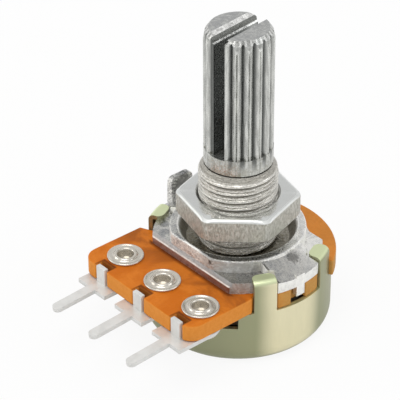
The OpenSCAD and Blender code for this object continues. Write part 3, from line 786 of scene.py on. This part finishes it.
class Workpiece:
    """A bmesh in millimetres that becomes one piece."""

    def __init__(self) -> None:
        """Starts empty."""
        self.bm = bmesh.new()

    @classmethod
    def from_node(cls, node: str) -> "Workpiece":
        """Takes a merged copy of a CAD node's mesh.

        Args:
            node: Name of the node.

        Returns:
            The copy, with its flat faces whole.
        """
        work = cls()
        bm = work.bm
        bm.from_mesh(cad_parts[node].data)
        bmesh.ops.transform(bm, matrix=Matrix.Scale(1 / MM, 4), verts=bm.verts)
        bmesh.ops.remove_doubles(bm, verts=bm.verts, dist=WELD)
        bmesh.ops.dissolve_degenerate(bm, edges=bm.edges, dist=SLIVER)
        bmesh.ops.dissolve_limit(
            bm, angle_limit=math.radians(FLAT), verts=bm.verts, edges=bm.edges, delimit=set(),
        )
        return work

    def soften(
        self, width: float, segments: int, angle: float, keep: Callable[[Edge], bool] = lambda edge: True,
    ) -> None:
        """Rounds the sharp edges.

        Args:
            width: Width of the rounding.
            segments: Faces across it.
            angle: Least angle between an edge's faces, in degrees.
            keep: A test that the edges have to pass.
        """
        self.bm.normal_update()
        limit = math.radians(angle)
        edges = [
            edge for edge in self.bm.edges
            if len(edge.link_faces) == 2 and edge.calc_face_angle(0.0) > limit and keep(edge)
        ]
        bmesh.ops.bevel(
            self.bm, geom=edges, offset=width, offset_type="OFFSET", affect="EDGES",
            segments=segments, profile=0.5, material=-1, clamp_overlap=True,
        )

    def score(
        self, place: Sequence[float], normal: Sequence[float], faces: Sequence[Face], clear: bool = False,
    ) -> None:
        """Cuts faces along a plane.

        Args:
            place: A point of the plane.
            normal: The plane's normal.
            faces: The faces to cut.
            clear: Whether what is in front of the plane goes.
        """
        edges = dict.fromkeys(edge for face in faces for edge in face.edges)
        verts = dict.fromkeys(vert for face in faces for vert in face.verts)
        bmesh.ops.bisect_plane(
            self.bm, geom=[*verts, *edges, *faces], dist=CUT, plane_co=place, plane_no=normal,
            clear_outer=clear,
        )

    def spin(self, points: Iterable[Point], steps: int, turns: int = 1, lead: float = 0.0) -> None:
        """Turns an open section around the Z axis.

        Args:
            points: The section's radii and heights.
            steps: Faces in a turn.
            turns: Number of turns.
            lead: Rise in a turn.
        """
        verts = [self.bm.verts.new((radius, 0.0, height)) for radius, height in points]
        edges = [self.bm.edges.new(pair) for pair in zip(verts, verts[1:])]
        bmesh.ops.spin(
            self.bm, geom=verts + edges, cent=(0, 0, 0), axis=(0, 0, 1), dvec=(0, 0, lead / steps),
            angle=2 * math.pi * turns, steps=steps * turns, use_merge=lead == 0.0,
        )

    def line_bore(self, rim: List[Edge], rings: Iterable[Point]) -> None:
        """Carries a loop of edges inwards and closes the mesh there.

        Args:
            rim: The loop.
            rings: Radii and heights that it is carried to.
        """
        for radius, height in rings:
            made = bmesh.ops.extrude_edge_only(self.bm, edges=rim)["geom"]
            rim = [item for item in made if isinstance(item, Edge)]
            for vert in (item for item in made if isinstance(item, Vert)):
                vert.co.xy *= radius / vert.co.xy.length
                vert.co.z = height
        bmesh.ops.bridge_loops(self.bm, edges=[edge for edge in self.bm.edges if edge.is_boundary])
        bmesh.ops.recalc_face_normals(self.bm, faces=self.bm.faces)

    def move(self, *way: float) -> None:
        """Moves everything along X, Y and Z."""
        bmesh.ops.translate(self.bm, verts=self.bm.verts, vec=way)

    def finish(self, name: str, body: Body, finish: Finish, nodes: Iterable[str], crease: float) -> None:
        """Makes the piece, dresses it and hides the CAD nodes that it stands for.

        Args:
            name: Name of the piece.
            body: The body that it rides on.
            finish: Its finish.
            nodes: The CAD nodes that it stands for.
            crease: Angle above which an edge stays sharp, in degrees.
        """
        self.bm.normal_update()
        limit = math.radians(crease)
        for face in self.bm.faces:
            face.smooth = True
        for edge in self.bm.edges:
            edge.smooth = len(edge.link_faces) == 2 and edge.calc_face_angle(0.0) < limit
        bmesh.ops.transform(self.bm, matrix=Matrix.Scale(MM, 4), verts=self.bm.verts)
        mesh = bpy.data.meshes.new(name)
        self.bm.to_mesh(mesh)
        self.bm.free()
        mesh.materials.append(finish.material())
        piece = add_object(name, mesh)
        weighted = piece.modifiers.new("face_weight", "WEIGHTED_NORMAL")
        weighted.mode = "FACE_AREA"
        weighted.weight = 80
        weighted.keep_sharp = True
        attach(piece, body.value)
        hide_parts(*nodes)
        LOG.info("%s: %d faces, on %s", name, len(mesh.polygons), body.value)


def dress(node: str, finish: Finish) -> None:
    """Gives a CAD node its finish.

    Args:
        node: Name of the node.
        finish: The finish.
    """
    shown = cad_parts[node]
    shown.data.materials.clear()
    shown.data.materials.append(finish.material())
    LOG.info("%s: CAD node dressed", node)


# Sub-assemblies


@dataclass
class FrontPlate:
    """The casting, whose bushing gets a real thread.

    The tooth is one turn's section: shares of the pitch, and depths under the crest.
    """

    crest_r: float = 3.45
    core_r: float = 3.05
    bore_r: float = 2.45
    pitch: float = 0.75
    tooth: Tuple[Point, ...] = (
        (0.0, 0.28), (0.04, 0.28), (0.24, 0.0), (0.44, 0.0), (0.53, 0.15), (0.63, 0.07), (0.79, 0.09),
        (0.96, 0.28), (1.0, 0.28),
    )
    bottom: float = -1.1
    top: float = 6.5
    chamfer_h: float = 0.7
    chamfer_w: float = 0.45
    lip_h: float = 0.3
    lip_play: float = 0.02
    lining_play: float = 0.04
    around: int = 72
    edge: float = 0.07
    roll: float = 0.26
    plate_top: float = -1.15
    plate_flat: float = 5.5
    shelf_run: float = 0.2
    shelf_drop: float = 0.35
    ring_r: float = 5.95
    ring_flat: float = 5.35
    skirt_r: float = 6.15
    back_flat: float = 4.95

    def _turn_down(self, work: Workpiece) -> None:
        """Turns the bushing down to the thread's core, and lowers its end to the lip's foot.

        Args:
            work: The casting.
        """
        foot = self.top - self.chamfer_h
        for vert in work.bm.verts:
            radius = vert.co.xy.length
            if self.bore_r + APART < radius < self.crest_r + NEAR and vert.co.z > self.bottom - APART:
                vert.co.xy *= self.core_r / radius
            if vert.co.z > self.top - NEAR:
                vert.co.z = self.top - self.lip_h - self.lip_play
            elif vert.co.z > foot - NEAR and radius < self.crest_r + NEAR:
                vert.co.z = foot

    def _trim_plate(self, work: Workpiece) -> None:
        """Moves the plate's back edge in to a flat, and lowers its front edge to a slope.

        Args:
            work: The casting.
        """
        for vert in work.bm.verts:
            outside = vert.co.xy.length > self.skirt_r and vert.co.z < self.plate_top + NEAR
            if outside and vert.co.y > self.back_flat:
                skirt = math.sqrt(max(0.0, self.skirt_r ** 2 - vert.co.x ** 2))
                vert.co.y = max(self.back_flat, skirt)
        work.bm.normal_update()
        deck = [
            face for face in work.bm.faces
            if face.normal.z > 0.9 and abs(face.calc_center_median().z - self.plate_top) < NEAR
        ]
        work.score((0, self.shelf_run - self.plate_flat, 0), (0, 1, 0), deck)
        for vert in work.bm.verts:
            if abs(vert.co.y + self.plate_flat) < NEAR and abs(vert.co.z - self.plate_top) < NEAR:
                vert.co.z -= self.shelf_drop

    def _ring_rim(self, edge: Edge) -> bool:
        """Tests for the outer rim of the ring.

        Args:
            edge: The edge to test.

        Returns:
            Whether it is part of the rim.
        """
        spot = (edge.verts[0].co.xy + edge.verts[1].co.xy) / 2
        outside = spot.length > self.ring_r - 2 * APART or spot.y < NEAR - self.ring_flat
        return outside and at_level(edge, 0.0)

    def _thread(self) -> Workpiece:
        """Makes the thread, chamfered at its end and lined down to the core.

        Returns:
            The thread.
        """
        work = Workpiece()
        start = self.bottom - 2 * self.pitch
        section = [(self.crest_r - depth, start + share * self.pitch) for share, depth in self.tooth]
        work.spin(section, self.around, math.ceil((self.top - start) / self.pitch) + 1, self.pitch)
        bmesh.ops.remove_doubles(work.bm, verts=work.bm.verts, dist=4 * WELD)
        foot = self.top - self.chamfer_h
        for height, side, clear in ((self.top, 1, True), (self.bottom, -1, True), (foot, 1, False)):
            work.score((0, 0, height), (0, 0, side), work.bm.faces[:], clear)
        for vert in work.bm.verts:
            if vert.co.z > foot:
                limit = self.crest_r - (vert.co.z - foot) * self.chamfer_w / self.chamfer_h
                vert.co.xy *= min(1.0, limit / vert.co.xy.length)
        lip = self.top - self.lip_h
        inner_r = self.core_r - self.lining_play
        rings = ((self.bore_r, self.top), (self.bore_r, lip), (inner_r, lip), (inner_r, self.bottom))
        rim = [edge for edge in work.bm.edges if edge.is_boundary and at_level(edge, self.top)]
        work.line_bore(rim, rings)
        return work

    def build(self) -> None:
        """Makes the casting and its thread."""
        work = Workpiece.from_node("front_plate")
        self._turn_down(work)
        self._trim_plate(work)
        work.soften(self.roll, 3, 60.0, self._ring_rim)
        work.soften(self.edge, 2, 30.0, lambda edge: edge.verts[0].co.z < self.top / 3)
        work.finish("front_casting", Body.HOUSING, CAST, ["front_plate"], 32.0)
        self._thread().finish("bushing_thread", Body.HOUSING, THREAD, ["front_plate"], 40.0)


@dataclass
class Spindle:
    """The shaft, with what turns with it inside.

    The worn edge is given by widths and depths of its facets, from the top face down.
    """

    edge: float = 0.05
    top: float = 19.35
    knurl_foot: float = 8.1
    land_r: float = 2.98
    land_sag: float = 0.06
    hollow_w: float = 0.07
    hollow: float = 0.1
    slot_turn: float = 6.5
    near_wall: float = 0.85
    far_wall: float = -0.35
    chamfer: float = 0.3
    worn: Tuple[Point, ...] = ((0.74, 0.0), (0.32, 0.22), (0.0, 0.76))

    def _hollow_lands(self, work: Workpiece) -> None:
        """Presses a fine line into the middle of each tooth's land.

        Args:
            work: The shaft.
        """
        start = math.radians(KNURL_TURN)
        step = 2 * math.pi / TEETH
        for turn in (start + place * step for place in range(TEETH // 2)):
            across = Vector((-math.sin(turn), math.cos(turn), 0.0))
            for offset in (-self.hollow_w, 0.0, self.hollow_w):
                lands = [
                    face for face in work.bm.faces
                    if abs(face.normal.z) < 0.1 and face.calc_center_median().z > self.knurl_foot
                    and face.normal.dot(face.calc_center_median()) > self.land_r - self.land_sag
                ]
                work.score(across * offset, across, lands)
        for vert in work.bm.verts:
            radius = vert.co.xy.length
            tooth = (math.atan2(vert.co.y, vert.co.x) - start) / step
            on_tooth = self.land_r - 4 * APART < radius < self.land_r + NEAR / 2
            in_middle = abs(tooth - round(tooth)) < 0.4 * NEAR
            if on_tooth and in_middle and vert.co.z > self.knurl_foot - NEAR:
                vert.co.xy *= 1 - self.hollow / radius

    def _wear_slot(self, work: Workpiece) -> None:
        """Wears down the far half's edge along the slot, and squares the near half's.

        Args:
            work: The shaft.
        """
        turn = math.radians(self.slot_turn)
        across = Vector((math.cos(turn), math.sin(turn), 0.0))
        along = Vector((-math.sin(turn), math.cos(turn), 0.0))
        near = self.near_wall + NEAR
        for vert in work.bm.verts:
            bevelled = abs(vert.co.dot(across) - self.near_wall - self.chamfer) < 2 * NEAR
            if bevelled and vert.co.z > self.top - NEAR:
                reach = math.copysign(math.sqrt(vert.co.xy.length ** 2 - near ** 2), vert.co.dot(along))
                vert.co = across * near + along * reach + Vector((0, 0, vert.co.z))
        for (upper_w, upper_h), (lower_w, lower_h) in zip(self.worn, self.worn[1:]):
            normal = across * (lower_h - upper_h) + Vector((0, 0, upper_w - lower_w))
            low = across * (self.far_wall - lower_w) + Vector((0, 0, self.top - lower_h))
            far = [
                face for face in work.bm.faces
                if face.calc_center_median().dot(across) < self.far_wall + NEAR
                and max(vert.co.z for vert in face.verts) > self.top - self.worn[-1][1]
            ]
            work.score(low, normal, far, clear=True)
            rim = [edge for edge in work.bm.edges if edge.is_boundary]
            bmesh.ops.holes_fill(work.bm, edges=rim, sides=0)
            work.bm.normal_update()

    def build(self) -> None:
        """Makes the shaft and dresses the inner pieces."""
        work = Workpiece.from_node("shaft")
        self._wear_slot(work)
        self._hollow_lands(work)
        below = self.knurl_foot - 2 * APART
        work.soften(self.edge, 2, 24.0, lambda edge: max(vert.co.z for vert in edge.verts) < below)
        work.finish("split_shaft", Body.SPINDLE, ALLOY, ["shaft"], 24.0)
        dress("retaining_clip", SPRING_STEEL)
        dress("rotor", MOULDED)
        dress("wiper_contact", BRONZE)


@dataclass
class HexNut:
    """The nut, coned at both faces and rolled along its rims."""

    flats: float = 9.5
    bottom: float = 1.1
    height: float = 2.25
    turn: float = 16.5
    corner: float = 0.36
    top_roll: float = 0.34
    bottom_roll: float = 0.14
    bore_r: float = 3.47
    mouth_r: float = 3.68
    mouth_h: float = 0.2
    cone_r: float = 4.9
    cone: float = 0.6
    pieces: int = 9

    def _blank(self) -> Workpiece:
        """Makes the solid blank with rounded corners.

        Returns:
            The blank.
        """
        work = Workpiece()
        bm = work.bm
        corner_r = self.flats / 2 / math.cos(math.pi / 6)
        bmesh.ops.create_circle(bm, segments=6, radius=corner_r, cap_ends=True)
        made = bmesh.ops.extrude_face_region(bm, geom=bm.faces[:])["geom"]
        raised = [item for item in made if isinstance(item, Vert)]
        bmesh.ops.translate(bm, verts=raised, vec=(0, 0, self.height))
        bmesh.ops.recalc_face_normals(bm, faces=bm.faces)
        work.soften(self.corner, 4, 40.0, lambda edge: not at_level(edge, edge.verts[0].co.z))
        flats = [
            edge for edge in bm.edges
            if edge.calc_length() > 2 * self.corner and at_level(edge, edge.verts[0].co.z)
        ]
        bmesh.ops.subdivide_edges(bm, edges=flats, cuts=self.pieces, use_grid_fill=True)
        turned = Matrix.Rotation(math.radians(self.turn), 3, "Z")
        bmesh.ops.rotate(bm, verts=bm.verts, cent=(0, 0, 0), matrix=turned)
        return work

    def build(self) -> None:
        """Makes the nut."""
        work = self._blank()
        bm = work.bm
        for level, roll, count in ((self.height, self.top_roll, 5), (0.0, self.bottom_roll, 2)):
            work.soften(roll, count, 60.0, lambda edge: at_level(edge, level))
        for vert in bm.verts:
            beyond = max(0.0, vert.co.xy.length - self.cone_r) * self.cone
            vert.co.z = min(max(vert.co.z, beyond), self.height - beyond)
        caps = sorted(bm.faces, key=lambda face: face.calc_area())[-2:]
        rim = list(max(caps, key=lambda face: face.calc_center_median().z).edges)
        bmesh.ops.delete(bm, geom=caps, context="FACES")
        mouth_z = self.height - self.mouth_h
        work.line_bore(rim, ((self.mouth_r, self.height), (self.bore_r, mouth_z), (self.bore_r, 0.0)))
        work.move(0.0, 0.0, self.bottom)
        work.finish("nut", Body.HOUSING, NICKEL, ["hex_nut"], 40.0)


@dataclass
class RearCan:
    """The can with its folded tabs."""

    edge: float = 0.06

    def build(self) -> None:
        """Makes the can."""
        work = Workpiece.from_node("rear_can")
        work.soften(self.edge, 2, 35.0)
        work.finish("can", Body.HOUSING, PASSIVATED, ["rear_can"], 40.0)


@dataclass
class RivetShape:
    """Section of a tubular rivet with a rolled lip, in radii and in heights above the board.

    The groove lies between the flange's rim and the lip, and the well is inside the lip.
    """

    flange_r: float = 1.625
    flange_t: float = 0.22
    lip_r: float = 1.02
    lip_top: float = 0.32
    bore_r: float = 0.72
    groove: Tuple[Point, ...] = ((1.46, 0.19), (1.34, 0.11), (1.16, 0.11), (1.04, 0.18))
    well: Tuple[Point, ...] = ((0.7, 0.05), (0.6, -0.42), (0.3, -0.5), (0.0, -0.5))
    foot: float = -2.27
    foot_hollow: float = 0.4
    foot_dome: float = 0.1
    steps: int = 56

    def section(self) -> List[Point]:
        """Gives the section, from the axis at the foot to the axis at the well's floor.

        Returns:
            Radii and heights.
        """
        roll_r = (self.lip_r - self.bore_r) / 2
        rim_r = self.flange_t / 2
        hollow = self.foot + self.foot_hollow
        return [
            (0.0, hollow + self.foot_dome),
            (self.bore_r, hollow),
            (self.bore_r, self.foot),
            *arc((self.flange_r - rim_r, self.foot + rim_r), rim_r, -90, 90),
            (self.lip_r, self.foot + self.flange_t),
            (self.lip_r, 0.0),
            *arc((self.flange_r - rim_r, rim_r), rim_r, -90, 90),
            *self.groove,
            *arc((self.bore_r + roll_r, self.lip_top - roll_r), roll_r, 30, 180),
            *self.well,
        ]


@dataclass
class TerminalStrip:
    """The board with its prints, terminals and rivets."""

    names: Tuple[str, ...] = ("left", "centre", "right")
    rivet_y: float = -8.56
    board_top: float = -2.25
    notch_back: float = -10.8
    notch_w: float = 1.5
    notch_play: float = 0.4
    board_edge: float = 0.2
    sheet_edge: float = 0.06
    rivet: RivetShape = field(default_factory=RivetShape)

    def _board(self) -> None:
        """Makes the board, with some play behind its tongues at the terminals."""
        board = Workpiece.from_node("element_board")
        for vert in board.bm.verts:
            aside = abs(vert.co.x - round(vert.co.x / PITCH) * PITCH)
            if abs(vert.co.y - self.notch_back) < 2 * NEAR and aside < self.notch_w / 2 + 2 * NEAR:
                vert.co.y += self.notch_play
        board.soften(self.board_edge, 3, 35.0)
        board.finish("laminate_board", Body.HOUSING, LAMINATE, ["element_board"], 40.0)

    def build(self) -> None:
        """Makes the board, the terminals and the rivets, and dresses the prints."""
        self._board()
        for place, side in enumerate(self.names):
            lug = Workpiece.from_node(f"terminal_{side}")
            lug.soften(self.sheet_edge, 2, 35.0)
            lug.finish(f"lug_{side}", Body.HOUSING, TINNED, [f"terminal_{side}"], 40.0)
            tube = Workpiece()
            tube.spin(self.rivet.section(), self.rivet.steps)
            bmesh.ops.remove_doubles(tube.bm, verts=tube.bm.verts, dist=WELD)
            bmesh.ops.recalc_face_normals(tube.bm, faces=tube.bm.faces)
            tube.move((place - 1) * PITCH, self.rivet_y, self.board_top)
            tube.finish(f"tube_rivet_{side}", Body.HOUSING, RIVETED, [f"rivet_{side}"], 60.0)
        dress("resistive_track", CARBON)
        for node in ("collector_ring", "end_pad_left", "end_pad_right"):
            dress(node, SILVER)


# Studio


def bearing(azimuth: float, elevation: float) -> Vector:
    """Gives the unit vector from the part towards a camera or lamp.

    Args:
        azimuth: Angle round the part from its terminals' side, in degrees.
        elevation: Angle above the floor, in degrees.

    Returns:
        The vector.
    """
    turn, lift = math.radians(azimuth), math.radians(elevation)
    return Vector((math.sin(turn) * math.cos(lift), -math.cos(turn) * math.cos(lift), math.sin(lift)))


@dataclass
class Viewpoint:
    """The photograph's camera, with lengths in millimetres and its image in pixels."""

    azimuth: float = 49.65
    elevation: float = 33.35
    roll: float = -0.3
    distance: float = 175.61
    focal_px: float = 2039.2
    target: Triple = (0.0, 0.0, 2.7)
    target_px: Point = (238.08, 196.74)
    image_px: float = 400.0
    sensor: float = 36.0
    clip_start: float = 0.005

    def build(self) -> None:
        """Makes the camera."""
        turn, roll = math.radians(self.azimuth), math.radians(self.roll)
        back = bearing(self.azimuth, self.elevation)
        level = Vector((math.cos(turn), math.sin(turn), 0.0))
        upward = back.cross(level)
        right = level * math.cos(roll) + upward * math.sin(roll)
        up = upward * math.cos(roll) - level * math.sin(roll)
        across, down = ((px - self.image_px / 2) * self.distance / self.focal_px for px in self.target_px)
        place = Vector(self.target) + back * self.distance - right * across + up * down
        data = bpy.data.cameras.new("camera")
        data.sensor_width = self.sensor
        data.lens = self.sensor * self.focal_px / self.image_px
        data.clip_start = self.clip_start
        camera = add_object("camera", data)
        turned = Matrix((right, up, back)).transposed().to_4x4()
        camera.matrix_world = Matrix.Translation(place * MM) @ turned
        bpy.context.scene.camera = camera
        LOG.info("camera: lens %.1f mm", data.lens)


@dataclass(frozen=True)
class SoftBox:
    """A square lamp that faces the part, with its distance and side in metres."""

    name: str
    azimuth: float
    elevation: float
    distance: float
    side: float
    radiance: float
    tint: Colour

    def build(self) -> None:
        """Makes the lamp. Its power follows from the radiance and the area."""
        back = bearing(self.azimuth, self.elevation)
        data = bpy.data.lights.new(self.name, "AREA")
        data.shape = "SQUARE"
        data.size = self.side
        data.energy = self.radiance * math.pi * self.side ** 2
        data.color = self.tint
        turned = back.to_track_quat("Z", "Y").to_matrix().to_4x4()
        add_object(self.name, data).matrix_world = Matrix.Translation(back * self.distance) @ turned


@dataclass
class Studio:
    """Pale floor, soft lamps and a plain world, with the floor's side in metres.

    The sky gives heights of the view direction and their greys.
    """

    floor_side: float = 6.0
    floor_seen: float = 0.9
    floor_mirrored: float = 0.45
    floor_grey: float = 0.82
    sky: Tuple[Point, ...] = ((0.12, 1.0), (0.45, 0.68), (0.62, 0.68), (0.95, 0.8))
    lamps: Tuple[SoftBox, ...] = (
        SoftBox("key_box", 20.0, 72.0, 0.40, 0.26, 2.6, (1.0, 0.99, 0.96)),
        SoftBox("left_box", -45.0, 22.0, 0.45, 0.22, 1.8, (1.0, 0.98, 0.93)),
        SoftBox("right_box", 128.0, 26.0, 0.45, 0.22, 1.6, (0.97, 0.99, 1.0)),
    )

    def floor(self) -> None:
        """Makes the floor, which camera rays see as almost white."""
        bm = bmesh.new()
        bmesh.ops.create_grid(bm, x_segments=1, y_segments=1, size=self.floor_side / 2)
        bmesh.ops.translate(bm, verts=bm.verts, vec=(0, 0, min(CAD_BOX[0][2], CAD_BOX[1][2])))
        mesh = bpy.data.meshes.new("floor")
        bm.to_mesh(mesh)
        bm.free()
        material = bpy.data.materials.new("floor_paper")
        material.use_nodes = True
        mesh.materials.append(material)
        graph = Graph(material.node_tree)
        camera = graph.node("LightPath", output="Is Camera Ray")
        glossy = graph.node("LightPath", output="Is Glossy Ray")
        paper = graph.node("BsdfDiffuse", inputs={"Color": (self.floor_grey,) * 3, "Roughness": 1.0})
        glow = graph.node("Emission", inputs={"Color": (1.0, 1.0, 1.0), "Strength": 1.0})
        share = graph.math("MAXIMUM", camera * self.floor_seen, glossy * self.floor_mirrored)
        mixed = graph.node("MixShader", inputs={0: share, 1: paper, 2: glow})
        graph.node("OutputMaterial", inputs={"Surface": mixed})
        add_object("floor", mesh)

    def world(self) -> None:
        """Makes a plain world, white at the horizon and greyer above."""
        world = bpy.data.worlds.new("studio")
        world.use_nodes = True
        bpy.context.scene.world = world
        graph = Graph(world.node_tree)
        direction = graph.node("TexCoord", output="Generated")
        rise = graph.node("SeparateXYZ", inputs={0: direction}, output="Z")
        shade = graph.node("ValToRGB", inputs={"Fac": rise})
        elements = shade.socket.node.color_ramp.elements
        while len(elements) < len(self.sky):
            elements.new(1.0)
        for element, (place, grey) in zip(elements, self.sky):
            element.position = place
            element.color = (grey, grey, grey, 1.0)
        glow = graph.node("Background", inputs={"Color": shade, "Strength": 1.0})
        graph.node("OutputWorld", inputs={"Surface": glow})

    def build(self) -> None:
        """Makes floor, world and lamps."""
        self.floor()
        self.world()
        for lamp in self.lamps:
            lamp.build()
        LOG.info("studio: %d lamps", len(self.lamps))


def main() -> None:
    """Builds the camera, the studio and every piece."""
    logging.basicConfig(level=logging.INFO, format="%(name)s: %(message)s")
    bpy.context.scene.view_settings.view_transform = "Standard"
    Viewpoint().build()
    Studio().build()
    for assembly in (FrontPlate(), Spindle(), HexNut(), RearCan(), TerminalStrip()):
        assembly.build()
    bpy.context.view_layer.update()


if __name__ == "__main__":
    main()
